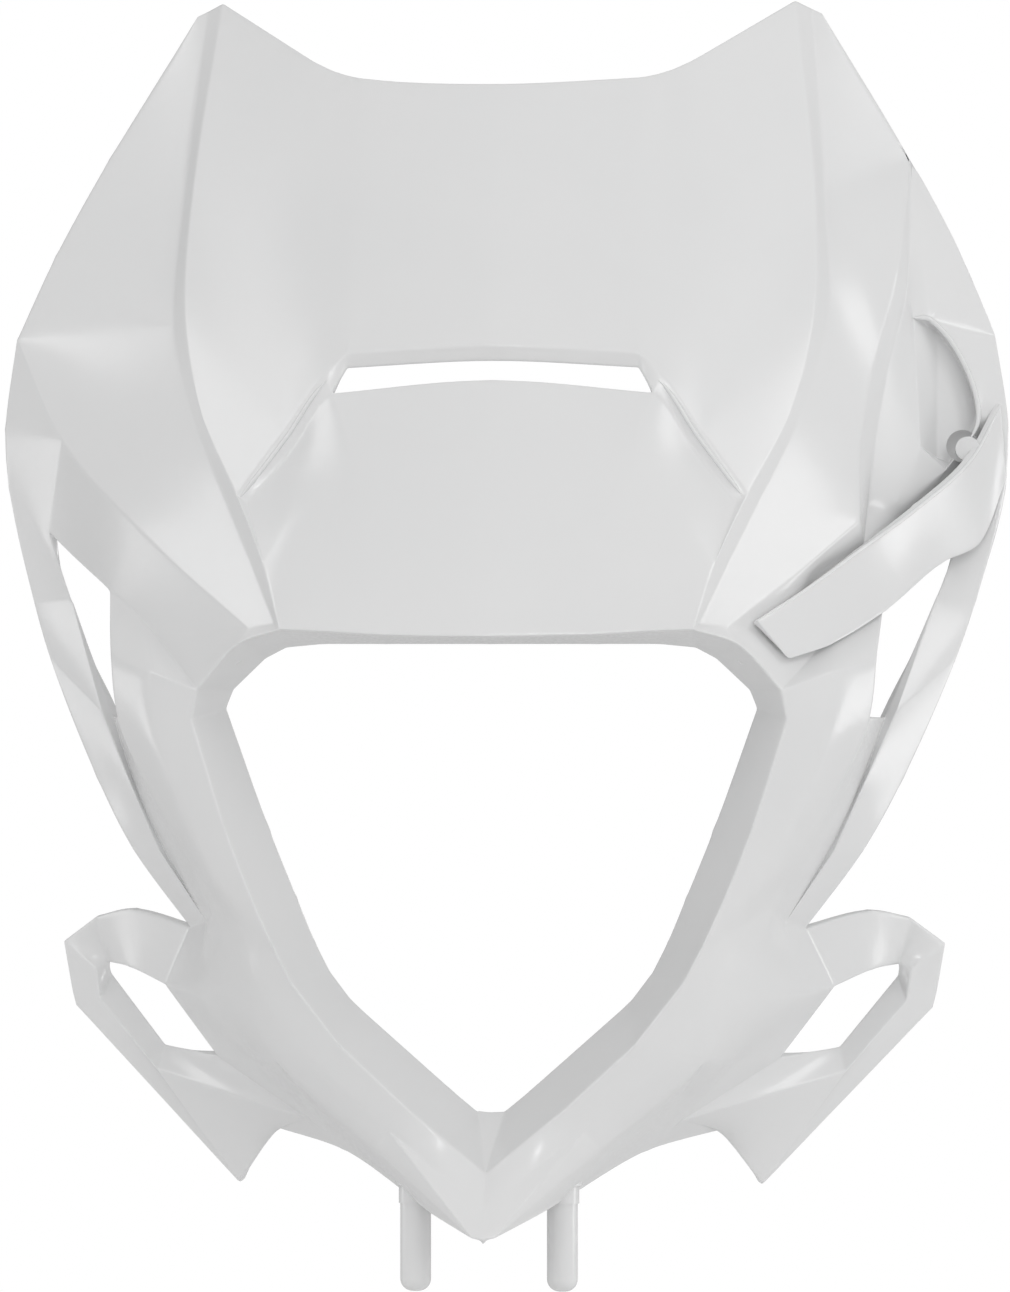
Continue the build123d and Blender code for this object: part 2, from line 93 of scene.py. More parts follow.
# Character points of the right half: across, back, up
half = {
    # number plate, from the top edge down to the brow
    "M0": (0, 50, 305), "N0": (38, 56, 307), "Nb0": (46, 60, 309), "H0": (53.5, 64, 312.5),
    "B0": (81.5, 87, 331),
    "M1": (0, 31, 267), "N1": (38, 37, 268), "Nb1": (46, 40, 268.5), "H1": (58.5, 45, 270),
    "B1": (87.5, 62, 276),
    "U0": (0, 11.5, 230.5), "U1": (40, 16, 228.5), "U2": (46.5, 15, 222.5),
    "K": (57.5, 12.5, 206.5), "G": (70, 10, 189.5),
    "B2": (87.5, 42, 238.5), "B3": (81, 26, 211.5),
    "E0": (0, 12.5, 228), "E1": (39.5, 16.5, 226),
    "Q0": (0, 10, 221), "Q1": (42, 14, 217.5), "R": (54.5, 13, 203), "GG": (67, 9.5, 187),
    "M4": (0, -7, 187.5), "N4": (33.5, -3.5, 187.5), "K4": (50.5, 0, 185),
    "B4": (61.5, -3, 170.5),
    "M5": (0, -18, 150.5), "N5": (28.5, -17, 151), "K5": (44.5, -15.5, 152),
    "B5": (56, -14, 152.5),
    # crease beside the plate
    "A0": (86, 90, 329), "A1": (90, 65.5, 275), "A2": (91, 45.5, 237.5),
    "A3": (84.5, 29.5, 213), "A4": (73, 12.5, 187.5), "Ab": (65, 0.5, 170.5),
    "A5": (57.5, -11, 154),
    # wing edge, facet edge and blade edge
    "S0": (89, 90, 327.5), "S1": (114, 84, 286), "S2": (128.3, 77.5, 258.5),
    "S3": (138, 69, 235), "S4": (141.6, 69.5, 209),
    "L1": (123.5, 53, 206), "L2": (100.5, 25, 182.5), "L3": (84, 9, 168), "L4": (65, -8, 153),
    "S5": (140.5, 69, 193), "T1": ("L1", 4.5, 7, -26), "T2": ("L2", 7, 7, -19),
    "T3": ("L3", 15, 13, -11), "T4": ("L4", 27, 22, -2.5),
    # pillar: outer edge, middle and front crease
    "P1": (105.5, 16, 145.5), "P2": (103.5, 15, 128.5), "P3": (94.5, 14, 108.5),
    "P4": (83.5, 12, 89), "P5": (77, 12, 76),
    "X1": (93, 3.5, 141), "X2": (93, 3, 128), "X3": (84, 1, 103.5), "X4": (75, 0, 84),
    "X5": (68.5, 0, 72),
    "F1": (68, -9, 148.5), "F2": (79.5, -4, 136), "F3": (81, -3, 128), "F4": (71.5, -6, 98),
    "Fb": (64, -8, 79), "Fc": (58.5, -9.5, 67), "F5": (53, -10, 56.5),
    # jaw and chin
    "F6": (40, -12, 40), "F7": (21.5, -13.5, 23), "F8": (0, -15, 5.5),
    "X6": (62, -3, 56), "X7": (50, -7, 37.5), "X8": (26.5, -12, 17), "X9": (0, -21.5, -3),
    "W1": (70, 7, 55.5), "W2": (58.5, 2, 35), "W3": (30.5, -8, 11.5),
    "V0": (0, -27, -11.5), "Va": (2.8, -26.5, -11.3), "V1": (15.5, -13, -5),
    "V2": (25, 6, 0), "V3": (42, 26, 9), "V4": (61.5, 40, 14),
    # rear edge of the headlight opening
    "O0": (0, 9, 148.5), "O1": (29, 9, 148.5), "Ob": (46, 9, 148.5), "O2": (56, 8, 147.5),
    "O3": (61.5, 7, 144.5), "O4": (70.5, 9, 136), "O5": (72.5, 9, 131), "O6": (60.5, 9, 97.5),
    "Oc": (53, 9, 79), "Od": (48, 9, 67), "O7": (44, 9, 59), "O8": (38, 9, 51),
    "O9": (9.8, 9, 26), "Oe": (3.8, 9, 21), "O10": (0, 9, 20.8),
    # outer strut and the channel between it and the pillar
    "I1": (121, 58, 161), "C2": (108, 44.5, 128.5), "C4": (100, 37.5, 106.5),
    "C5": (91, 33, 89), "C6": (80, 26, 72),
    "S7": (132.5, 62, 160.5), "S8": (127, 55, 144.5), "S9": (112.3, 43, 111),
    "Sa": (101.4, 36, 91.3), "Sb": (85.5, 35, 70),
    "y8": (110.4, 39, 129.9), "y9": (101.9, 31, 110.9), "ya": (93.6, 29, 92.1),
    # jaw edge in front of the ear, then the ear round its hole
    "D1": (81, 24, 51.5), "D2": (66, 24, 33), "D3": (51.5, 24, 17.5),
    "e1": (114.5, 60, 72), "e7": (104, 50, 74.5), "e2": (124, 62, 65), "e3": (121, 62, 47.5),
    "e5": (73, 50, -2),
    "h1": (111, 61, 59), "h7": (104, 52, 58), "h2": (93.3, 44, 53.5), "h3": (78.5, 41, 34),
    "h4": (94.5, 55.5, 36.5), "h5": (110.5, 64.5, 56),
    "r4": (96.2, 50, 29.7), "r5": (113, 58, 49), "r6": (114.5, 59, 58),
}

# The photo's right side has a hose pocket and a channel where the left has its blade.
# A point that names another one lies that far from it: across, back, up.
right_own = {
    "L1": (100.5, 39, 205), "f1": (112, 45.5, 187), "T1": ("f1", 16, 21.5, -9),
    "T2": ("L2", 7, 13, -19), "T3": ("L3", 15, 16, -11),
    "c1": ("A1", 20.5, -4.5, -23.5), "c2": ("A2", 13.5, 5, -10),
    "d1": ("c1", 2.5, 2, -4.5), "d2": ("c2", 3.5, 4, -1.5), "d3": ("f1", -7.5, 1.5, 19),
    "d4": ("L2", 2, 16, 4.5),
    "kA": ("S3", -23, -9, 5), "kB": ("kA", 5, 1.5, -0.5), "kC": ("S3", -4.5, -3.5, -22.5),
    "kD": ("f1", 12, 11, 10), "kE": ("f1", 5, 6.5, 16.5),
    "nB": ("kB", 1.5, 5, -3.5), "nC": ("kC", -1, 5.5, 0.5), "nD": ("kD", 1, 7.5, 2.5),
    "nE": ("kE", 4.5, 10.5, -3), "nX": ("nB", -6, -1, 2.5),
    "m": ("S5", -6, 2, 1.5), "g1": ("f1", 2, 6.5, -4.5), "g2": ("L2", 1, 5, -6.5),
    "g3": ("L3", 2, 4.5, -5.5),
}

# Hose guide: upper edge, lower edge and the return that closes the channel from below
guide = {
    "t0": ("L4", 8, 3, 2), "t1": ("L3", 0.5, -3, -5.5), "t2": ("L2", 0, -3, -8),
    "t3": ("f1", 5, -6.5, 0), "t4": ("kD", 7, -3, 3), "t5": ("kC", 6, 2, 3.5),
    "l0": ("T4", -10.5, -16, -6), "l1": ("T3", -6, -16, -8.5), "l2": ("T2", 0, -11, -6),
    "l3": ("T1", -5, -17, -7), "l4": ("T1", 6, -4, -1), "l5": ("S5", 0.5, -1, 2),
    "b1": ("l1", -1, 4, 1.5), "b2": ("l2", -1.5, 11, 5.5), "b3": ("l3", -1, 10, 4),
    "b4": ("l4", -2, 7, 5),
}

# Lines that run smoothly through their points (a dash names the mirrored point)
smooth_lines = """
N0- M0 N0 Nb0 H0 / N1- M1 N1 Nb1 H1 B1 / U1- U0 U1 / U1 U2 K G / E1- E0 E1
Q1- Q0 Q1 / Q0 Q1 R GG / N4- M4 N4 K4 B4 / N5- M5 N5 K5 / M0 M1 U0 / N0 N1 U1
Nb0 Nb1 U2 / H0 H1 K / Q0 M4 M5 / Q1 N4 N5 / R K4 K5 / B0 B1 B2 B3 G B4 B5
A0 A1 A2 A3 A4 Ab A5 / S0 S1 S2 S3 / S3 S4 S5 S7 S8 S9 Sa Sb / S3 L1 L2 L3 L4
S5 T1 T2 T3 T4 / T2 P1 P2 P3 P4 P5 W1 W2 W3 Va
X1 X2 X3 X4 X5 X6 X7 X8 X9 / B5 F1 F2 / F3 F4 Fb Fc F5 / F6 F7 / O5 O6 Oc Od O7
T1 I1 C2 C4 C5 C6 / T3 X1 P1 / P1 X1 F2 / P2 X2 F3 / P3 X3 F4
P4 X4 Fb / P5 X5 Fc / D1 W1 X6 F5 / D2 W2 X7 F6 / V2 W3 X8 F7 / Va V1 V2 V3 V4
y8 y9 ya / C6 D1 D2 D3 / e1 e7 Sb / h1 h7 h2
"""

# Patches, corner by corner, counter-clockwise seen from the front
patches = """
M0 M1 N1 N0 / N0 N1 Nb1 Nb0 / Nb0 Nb1 H1 H0 / H0 H1 B1 B0
M1 U0 U1 N1 / N1 U1 U2 Nb1 / Nb1 U2 K H1 / H1 K B2 B1 / K G B3 B2
U0 E0 E1 U1 / U1 E1 Q1 U2 / U2 Q1 R K / K R GG G / G GG B4
Q0 M4 N4 Q1 / Q1 N4 K4 R / R K4 B4 GG / M4 M5 N5 N4 / N4 N5 K5 K4 / K4 K5 B5 B4
B0 B1 A1 A0 / B1 B2 A2 A1 / B2 B3 A3 A2 / B3 G A4 A3 / G B4 Ab A4 / B4 B5 A5 Ab
A0 A1 S1 S0 / A3 A4 L2 L1 / A4 Ab L3 L2 / Ab A5 L4 L3 / A5 B5 F1 L4
L4 F1 F2 T4 / T3 T4 F2 X1 / T2 T3 X1 P1
P1 X1 X2 P2 / X1 F2 F3 X2 / P2 X2 X3 P3 / X2 F3 F4 X3 / P3 X3 X4 P4 / X3 F4 Fb X4
P4 X4 X5 P5 / X4 Fb Fc X5 / P5 X5 X6 W1 / X5 Fc F5 X6 / W1 X6 X7 W2 / X6 F5 F6 X7
W2 X7 X8 W3 / X7 F6 F7 X8 / W3 X8 Va / X8 X9 V0 Va / X8 F7 F8 X9
M5 O0 O1 N5 / N5 O1 Ob K5 / K5 Ob O2 B5 / B5 O2 O3 F1 / F1 O3 O4 F2 / F2 O4 O5 F3
F3 O5 O6 F4 / F4 O6 Oc Fb / Fb Oc Od Fc / Fc Od O7 F5 / F5 O7 O8 F6 / F6 O8 O9 F7
F7 O9 Oe F8 / Oe O10 F8
P2 P3 C4 C2 / P3 P4 C5 C4 / P4 P5 C6 C5
S5 T1 I1 S7 / S7 I1 y8 S8 / I1 C2 y8 / S8 y8 y9 S9 / y8 C2 C4 y9
S9 y9 ya Sa / y9 C4 C5 ya / Sa ya C6 Sb / ya C5 C6
P5 W1 D1 C6 / W1 W2 D2 D1 / W2 V3 D3 D2 / W2 W3 V2 V3 / W3 Va V1 V2
Sb C6 D1 h2 / h2 D1 D2 h3 / h3 D2 D3 / h4 h3 D3 r4 / r4 D3 V4 e5 / D3 V3 V4
e1 e7 h7 h1 / e7 Sb h2 h7 / e1 h1 r6 e2 / h1 h5 r5 r6 / e2 r6 r5 e3
h5 h4 r4 r5 / e3 r5 r4 e5
"""

left_blade = """
A1 A2 S2 S1 / A2 S3 S2 / A2 A3 L1 S3 / S3 L1 S4 / S4 L1 T1 S5
L1 L2 T2 T1 / L2 L3 T3 T2 / L3 L4 T4 T3
"""

right_pocket = """
A1 A2 c2 c1 / A1 c1 S1 / A2 A3 L1 c2 / c1 c2 d2 d1 / c2 L1 d3 d2 / L1 L2 d4 d3
S1 c1 d1 / S1 d1 kA kB / S1 kB S2 / S2 kB S3 / S3 kB kC / S3 kC S4 / S4 kC m S5
d1 d2 kE kA / d2 d3 f1 kE / d3 d4 f1 / kE f1 kD / kC kD g1 m / kD f1 g1 / f1 d4 g2 g1
d4 L2 g2 / L2 L3 g3 g2 / L3 L4 T4 g3 / m g1 T1 S5 / g1 g2 T2 T1 / g2 g3 T3 T2 / g3 T4 T3
kA kE nE nB / kE kD nD nE / kD kC nC nD / kC kB nB nC / kB kA nB / nB nE nD nC
"""

# Lines that only this side has, before the common ones
right_smooth = """
S1 c1 c2 L1 L2 / L2 L3 L4 / S1 d1 d2 d3 d4 / kA kB kC kD / nX nB nC nD / m g1 g2 g3 T4
"""

guide_lines = "t0 t1 t2 t3 t4 t5 / l0 l1 l2 l3 l4 l5 / l0 b1 b2 b3 b4"
guide_patches = """
t0 l0 l1 t1 / t1 l1 l2 t2 / t2 l2 l3 t3 / t3 l3 l4 t4 / t4 l4 l5 t5
l0 b1 l1 / l1 b1 b2 l2 / l2 b2 b3 l3 / l3 b3 b4 l4
"""

WALL = 2.8
GUIDE_WALL = 2.4

# How the mesh is cut: cells along a patch edge, rows kept close to a crease, rows on a rim
CELLS = 12
CREASE_ROWS = (0.35, 0.8, 1.6)
CREASE_ANGLE = math.radians(9)
RIM_ROWS = (0.0, 0.16, 0.36, 0.64, 0.84, 1.0)
EVEN_ROWS_UNDER = 0.9

# How it is smoothed: fully beyond the fair reach, and rounded within the round reach
ROUND_REACH = 1.3
ROUND_EDGE = 1.15
ROUND_PASSES = 5
FAIR_RUN = 6.0
FAIR_PASSES = 14
SMOOTH_SHARE = 0.5
SHARP_ANGLE = math.radians(50)

# How a corner is moved in to the inner skin
INNER_PASSES = 60
INNER_SHARE = 0.3
INNER_MOST = 1.7

# Edges that bend softly, though the patches meet at an angle there
SOFT_EDGES = """
A2 S2 / A2 S3 / A3 L1 / S4 L1 / S1 kB / S1 d1 / S2 kB / S3 kB / S3 kC / S4 kC / S1 c1
Oe F8 / O10 F8 / I1 y8 / d2 kE / d3 kE / d3 f1 / d4 f1 / f1 kE / f1 kD / d1 kA / X8 Va
"""


def words(text):
    """The groups of point names in a list written with strokes and line ends."""
    return [group.split() for group in text.replace("\n", "/").split("/") if group.split()]


def placed(table, known):
    """The table's points, each by itself or counted from another point."""
    found = dict(known)
    for name, place in table.items():
        if isinstance(place[0], str):
            found[name] = found[place[0]] + np.array(place[1:], float)
        else:
            found[name] = np.array(place, float)
    return found


def full_points(both, right_only):
    """Both halves; points on the middle plane stay single."""
    whole = placed(both, {})
    for name in both:
        if whole[name][0] > 0:
            whole[name + "-"] = whole[name] * (-1, 1, 1)
    return placed(right_only, whole)


def mirrored(names, points):
    """The same names on the other half, in the order that keeps them counter-clockwise."""
    other = []
    for name in names[::-1]:
        if name.endswith("-"):
            other.append(name[:-1])
        else:
            other.append(name + "-" if name + "-" in points else name)
    return other


def line_curves(lines, points):
    """Cubic control points of every stretch between two neighbours of a smooth line."""
    curves = {}
    for names in lines:
        p = [points[n] for n in names]
        last = len(p) - 1
        for i in range(last):
            chord = p[i + 1] - p[i]
            size = np.linalg.norm(chord)
            start, end = chord, chord
            if i > 0:
                back = p[i] - p[i - 1]
                start = (back * (size / np.linalg.norm(back)) + chord) * 0.5
            if i < last - 1:
                ahead = p[i + 2] - p[i + 1]
                end = (ahead * (size / np.linalg.norm(ahead)) + chord) * 0.5
            curve = [p[i], p[i] + start / 3, p[i + 1] - end / 3, p[i + 1]]
            curves.setdefault((names[i], names[i + 1]), curve)
            curves.setdefault((names[i + 1], names[i]), curve[::-1])
    return curves


def edge_curve(a, b, curves, points):
    """Control points from a to b: the smooth line's own, else a straight stretch."""
    if (a, b) in curves:
        return curves[(a, b)]
    p, q = points[a], points[b]
    return [p, p + (q - p) / 3, p + (q - p) * 2 / 3, q]


def patch_net(names, curves, points):
    """The 4 x 4 control points of the patch that fills its four edges."""
    a, b, c = names[0], names[1], names[2]
    d = names[3] if len(names) == 4 else c
    left = edge_curve(a, b, curves, points)
    right = edge_curve(d, c, curves, points)
    top = edge_curve(a, d, curves, points)
    foot = edge_curve(b, c, curves, points)
    net = np.zeros((4, 4, 3))
    for i in range(4):
        u = i / 3
        for j in range(4):
            v = j / 3
            across = left[i] * (1 - v) + right[i] * v
            down = top[j] * (1 - u) + foot[j] * u
            corners = (top[0] * (1 - v) + top[3] * v) * (1 - u)
            corners = corners + (foot[0] * (1 - v) + foot[3] * v) * u
            net[i, j] = across + down - corners
    return net


def cubic(t):
    """Weights of a cubic's four control points."""
    s = 1 - t
    return np.array([s * s * s, 3 * s * s * t, 3 * s * t * t, t * t * t])


def normalized(v):
    """The vector at unit length; one without length as it is."""
    size = np.linalg.norm(v)
    return v / size if size > 1e-9 else v


def corner_normals(faces, curves, points):
    """For each point the outward directions of the patches that meet there."""
    found = {}
    for names in faces:
        count = len(names)
        for i, name in enumerate(names):
            ahead = edge_curve(name, names[(i + 1) % count], curves, points)
            back = edge_curve(name, names[i - 1], curves, points)
            normal = np.cross(ahead[1] - ahead[0], back[1] - back[0])
            found.setdefault(name, []).append(normalized(normal))
    return found


def inner_points(normals, points, depth):
    """Each point moved in so that it lies one wall behind every patch it belongs to."""
    moved = {}
    for name, around in normals.items():
        step = np.zeros(3)
        for normal in around:
            step = step - normal * (depth / len(around))
        for _ in range(INNER_PASSES):
            for normal in around:
                step = step - normal * ((depth + step @ normal) * INNER_SHARE)
        size = np.linalg.norm(step)
        if size > INNER_MOST * depth:
            step = step * (INNER_MOST * depth / size)
        moved[name] = points[name] + step
    return moved


def edge_normals(faces, curves, points):
    """For each patch edge the patch's own direction outwards at the edge's middle."""
    found = {}
    half_way = cubic(0.5)
    for names in faces:
        count = len(names)
        net = patch_net(names, curves, points)
        centre = half_way @ np.tensordot(half_way, net, (0, 1))
        for i, name in enumerate(names):
            other = names[(i + 1) % count]
            curve = np.array(edge_curve(name, other, curves, points))
            middle = half_way @ curve
            along = curve[3] - curve[0]
            found[(name, other)] = normalized(np.cross(along, centre - middle))
    return found


def crease_edges(faces, curves, points):
    """The edges where two patches meet at an angle, or where the network ends."""
    normals = edge_normals(faces, curves, points)
    soft = {frozenset(pair) for pair in words(SOFT_EDGES)}
    found = set()
    for (a, b), normal in normals.items():
        if frozenset((a.rstrip("-"), b.rstrip("-"))) in soft and (b, a) in normals:
            continue
        other = normals.get((b, a))
        if other is None or normal @ other < math.cos(CREASE_ANGLE):
            found.add((a, b))
            found.add((b, a))
    return found


def edge_marks(faces, curves, points, creases):
    """Where each edge is cut: close rows at an end that a crease runs through."""
    ends = {}
    for names in faces:
        count = len(names)
        for i, name in enumerate(names):
            other = names[(i + 1) % count]
            before = names[i - 1]
            beyond = names[(i + 2) % count]
            ends.setdefault((name, other), [False, False])
            ends.setdefault((other, name), [False, False])
            if (name, before) in creases:
                ends[(name, other)][0] = True
                ends[(other, name)][1] = True
            if (other, beyond) in creases:
                ends[(name, other)][1] = True
                ends[(other, name)][0] = True
    marks = {}
    for (a, b), (start, end) in ends.items():
        curve = edge_curve(a, b, curves, points)
        length = sum(np.linalg.norm(curve[i + 1] - curve[i]) for i in range(3))
        rows = [r / length for r in CREASE_ROWS]
        low = [0.0] + (rows if start else [])
        high = ([1 - r for r in rows[::-1]] if end else []) + [1.0]
        between = CELLS - len(low) - len(high) + 2
        first, last = low[-1], high[0]
        if last - first < EVEN_ROWS_UNDER * between * (rows[2] - rows[1]):
            marks[(a, b)] = list(np.linspace(0, 1, CELLS + 1))
            continue
        steps = list(np.linspace(first, last, between + 1))[1:-1]
        marks[(a, b)] = low + steps + high
    return marks


class Skin:
    """The vertices and quads of one skin, welded along the patch edges."""

    def __init__(self):
        self.verts = []
        self.index = {}
        self.faces = []

    def vertex(self, key, place):
        """The number of the vertex under this key, made here if it is new."""
        if key not in self.index:
            self.index[key] = len(self.verts)
            self.verts.append(place)
        return self.index[key]

    def face(self, corners):
        """Adds a face without its doubled corners."""
        kept = [c for i, c in enumerate(corners) if c != corners[i - 1]]
        if len(kept) > 2:
            self.faces.append(kept)


def edge_key(a, b, k):
    """One name for a place on an edge, from either end."""
    if k == 0:
        return a
    if k == CELLS:
        return b
    return (a, b, k) if a < b else (b, a, CELLS - k)


def skin_mesh(skin, side, faces, curves, points, marks, flip):
    """Adds every patch of a skin as a grid."""
    for number, names in enumerate(faces):
        a, b, c = names[0], names[1], names[2]
        d = names[3] if len(names) == 4 else c
        net = patch_net(names, curves, points)
        whole = [k / CELLS for k in range(CELLS + 1)]
        left = marks[(a, b)]
        right = marks[(d, c)] if d != c else left
        top = marks[(a, d)]
        foot = marks[(b, c)]
        grid = []
        for i in range(CELLS + 1):
            row = []
            for j in range(CELLS + 1):
                u_near = whole[i] if c == d and j == CELLS else (left[i] + right[i]) / 2
                v = top[j] * (1 - u_near) + foot[j] * u_near
                u = left[i] * (1 - v) + right[i] * v
                place = cubic(v) @ np.tensordot(cubic(u), net, (0, 0))
                if i == 0:
                    key = edge_key(a, d, j)
                elif i == CELLS:
                    key = edge_key(b, c, j)
                elif j == 0:
                    key = edge_key(a, b, i)
                elif j == CELLS:
                    key = edge_key(d, c, i) if c != d else c
                else:
                    key = (number, i, j)
                row.append(skin.vertex((side, key), place))
            grid.append(row)
        for i in range(CELLS):
            for j in range(CELLS):
                corners = [grid[i][j], grid[i + 1][j], grid[i + 1][j + 1], grid[i][j + 1]]
                skin.face(corners[::-1] if flip else corners)


def rim_mesh(skin, faces):
    """Closes the wall between the two skins wherever the network ends."""
    used = set()
    for names in faces:
        for i, name in enumerate(names):
            used.add((name, names[(i + 1) % len(names)]))
    for a, b in sorted(used):
        if (b, a) in used:
            continue
        columns = []
        for k in range(CELLS + 1):
            key = edge_key(a, b, k)
            front = skin.index[("front", key)]
            rear = skin.index[("rear", key)]
            column = []
            for share in RIM_ROWS:
                if share == 0.0:
                    column.append(front)
                elif share == 1.0:
                    column.append(rear)
                else:
                    place = skin.verts[front] * (1 - share) + skin.verts[rear] * share
                    column.append(skin.vertex(("rim", key, share), place))
            columns.append(column)
        for k in range(CELLS):
            for r in range(len(RIM_ROWS) - 1):
                skin.face([
                    columns[k][r], columns[k][r + 1], columns[k + 1][r + 1], columns[k + 1][r],
                ])


def crease_places(skin, creases):
    """The vertices on a crease line of either skin."""
    found = []
    for where, number in skin.index.items():
        if len(where) != 2:
            continue
        key = where[1]
        if isinstance(key, tuple) and isinstance(key[0], str) and key[:2] in creases:
            found.append(number)
    return found


def neighbours(faces):
    """Every mesh edge once in each direction."""
    pairs = set()
    for face in faces:
        for i, a in enumerate(face):
            b = face[(i + 1) % len(face)]
            pairs.add((a, b))
            pairs.add((b, a))
    pairs = np.array(sorted(pairs))
    return pairs[:, 0], pairs[:, 1]


def relaxed(verts, ends, strength, passes):
    """Moves each vertex towards the mean of its neighbours, as far as its strength says."""
    start, end = ends
    count = np.bincount(start, minlength=len(verts)).astype(float)
    for _ in range(passes):
        total = np.zeros_like(verts)
        np.add.at(total, start, verts[end])
        verts = verts + (total / count[:, None] - verts) * strength[:, None]
    return verts


def wall_mesh(name, faces, lines, points, depth, twins=()):
    """A closed, softly creased mesh object of the moulding behind a network of patches.

    A point named in twins is moved in like its mirrored twin.
    """
    front = line_curves(lines, points)
    behind = inner_points(corner_normals(faces, front, points), points, depth)
    for key in twins:
        behind[key] = points[key] + (behind[key + "-"] - points[key + "-"]) * (-1, 1, 1)
    for key in points:
        behind.setdefault(key, points[key])
    rear = line_curves(lines, behind)
    creases = crease_edges(faces, front, points)
    marks = edge_marks(faces, front, points, creases)
    skin = Skin()
    skin_mesh(skin, "front", faces, front, points, marks, False)
    skin_mesh(skin, "rear", faces, rear, behind, marks, True)
    rim_mesh(skin, faces)
    verts = np.array(skin.verts)

    tree_marks = crease_places(skin, creases)
    tree = KDTree(len(tree_marks))
    for number in tree_marks:
        tree.insert(Vector(verts[number]), number)
    tree.balance()
    away = np.array([tree.find(Vector(v))[2] for v in verts])
    ends = neighbours(skin.faces)
    fair = np.clip((away - ROUND_REACH) / FAIR_RUN, 0, 1) * SMOOTH_SHARE
    verts = relaxed(verts, ends, fair, FAIR_PASSES)
    near = np.clip(ROUND_EDGE - away / ROUND_REACH, 0, 1) * SMOOTH_SHARE
    verts = relaxed(verts, ends, near, ROUND_PASSES)
    return mesh_object(name, verts + (0, 0, GROMMET_DROP), skin.faces, SHARP_ANGLE)


def mesh_object(name, verts, faces, sharp_angle):
    """A mesh object from millimetres, smooth except over sharp edges."""
    mesh = bpy.data.meshes.new(name)
    mesh.from_pydata([tuple(c * MM for c in v) for v in verts], [], faces)
    mesh.validate()
    mesh.polygons.foreach_set("use_smooth", [True] * len(mesh.polygons))
    mesh.set_sharp_from_angle(angle=sharp_angle)
    piece = bpy.data.objects.new(name, mesh)
    scene.collection.objects.link(piece)
    return piece


# Sides of a round piece, and what is smooth on it
ROD_SIDES = 48
ROD_ANGLE = math.radians(35)
BOSS_SIDES = 40
BOSS_ANGLE = math.radians(30)
BEAD_SIDES = 10
BEAD_ANGLE = math.radians(80)
TIP_STEPS = 8
TIP_LENGTH = 0.8
TIP_FLAT = 0.2


def rod_mesh(name, start, end, radius, round_start):
    """A round rod of quads; its start may be rounded like a moulded pin's tip."""
    start, end = Vector(start), Vector(end)
    axis = (end - start).normalized()
    side = axis.orthogonal().normalized()
    other = axis.cross(side)
    rings = []
    if round_start:
        for k in range(1, TIP_STEPS + 1):
            angle = math.radians(90) * k / TIP_STEPS
            along = radius * TIP_LENGTH * (1 - math.cos(angle))
            rings.append((along, TIP_FLAT + (1 - TIP_FLAT) * math.sin(angle)))
    else:
        rings.append((0.0, 1.0))
    rings.append(((end - start).length, 1.0))
    count = ROD_SIDES
    verts = [start]
    faces = []
    for along, share in rings:
        for k in range(count):
            turn = 2 * math.pi * k / count
            out = side * math.cos(turn) + other * math.sin(turn)
            verts.append(start + axis * along + out * (radius * share))
    verts.append(end)
    for k in range(count):
        faces.append((0, 1 + (k + 1) % count, 1 + k))
    for r in range(len(rings) - 1):
        low, high = 1 + r * count, 1 + (r + 1) * count
        for k in range(count):
            n = (k + 1) % count
            faces.append((low + k, low + n, high + n, high + k))
    base = 1 + (len(rings) - 1) * count
    for k in range(count):
        faces.append((base + k, base + (k + 1) % count, len(verts) - 1))
    return mesh_object(name, verts, faces, ROD_ANGLE)


def boss_mesh(name, foot, face, hole_foot, radius, hole_radius):
    """A screw boss along +Y with its blind hole, turned from one profile."""
    profile = [
        (foot.y, 0.0), (foot.y, radius),
        (face.y - BOSS_CHAMFER, radius), (face.y, radius - BOSS_CHAMFER),
        (face.y, hole_radius + HOLE_CHAMFER), (face.y - HOLE_CHAMFER, hole_radius),
        (hole_foot, hole_radius), (hole_foot, 0.0),
    ]
    count = BOSS_SIDES
    verts = []
    for along, out in profile:
        for k in range(count if out > 0 else 1):
            turn = 2 * math.pi * k / count
            verts.append((foot.x + out * math.cos(turn), along, foot.z + out * math.sin(turn)))
    faces = []
    starts = [0]
    for along, out in profile:
        starts.append(starts[-1] + (count if out > 0 else 1))
    for k in range(count):
        n = (k + 1) % count
        faces.append((0, 1 + k, 1 + n))
        for row in range(1, len(profile) - 2):
            low, high = starts[row], starts[row + 1]
            faces.append((low + k, high + k, high + n, low + n))
        last = starts[len(profile) - 2]
        faces.append((last + k, len(verts) - 1, last + n))
    return mesh_object(name, verts, faces, BOSS_ANGLE)


def rib_mesh(name, x, width, outline):
    """A flat rib of the given outline (back, up), its edges a little rounded."""
    verts = []
    count = len(outline)
    for side in (-0.5, -RIB_FLAT, RIB_FLAT, 0.5):
        centre = np.mean(outline, axis=0)
        for place in outline:
            share = RIB_SIDE if abs(side) == 0.5 else 1.0
            y, z = centre + (np.array(place) - centre) * share
            verts.append((x + side * width, y, z + GROMMET_DROP))
    faces = [list(range(count))[::-1], list(range(3 * count, 4 * count))]
    for row in range(3):
        low, high = row * count, (row + 1) * count
        for k in range(count):
            n = (k + 1) % count
            faces.append((low + k, low + n, high + n, high + k))
    return mesh_object(name, verts, faces, BOSS_ANGLE)


